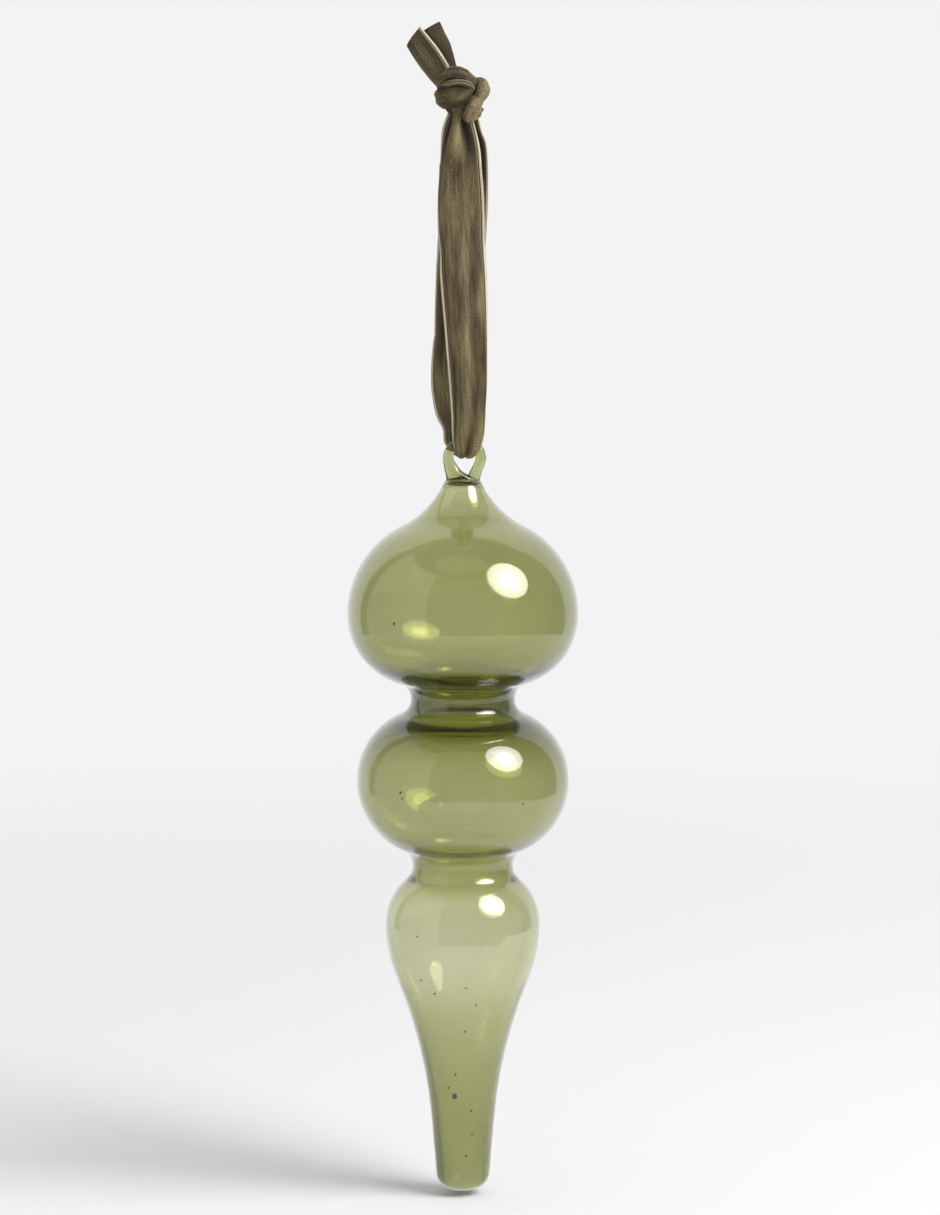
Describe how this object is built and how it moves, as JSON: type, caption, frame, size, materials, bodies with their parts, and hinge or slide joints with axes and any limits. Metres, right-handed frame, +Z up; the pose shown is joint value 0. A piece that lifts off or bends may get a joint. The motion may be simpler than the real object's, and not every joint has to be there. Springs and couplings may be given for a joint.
{
  "type": "glass finial ornament",
  "caption": "Blown glass finial ornament with a glass loop, hung from a knotted velvet ribbon.",
  "frame": {"origin": "hang point: the inside top of the ribbon's loop, just under the knot", "axes": "+Z up along the finial's axis, +X to the right seen from the front, the front faces -Y"},
  "size_m": [0.0772, 0.0772, 0.3911],
  "materials": {
    "olive_glass": "transparent olive green blown glass, fire polished",
    "taupe_velvet": "taupe brown velvet ribbon with cream woven edges"
  },
  "bodies": {
    "root": {"glass_finial": "olive_glass", "velvet_ribbon": "taupe_velvet"}
  },
  "joints": []
}
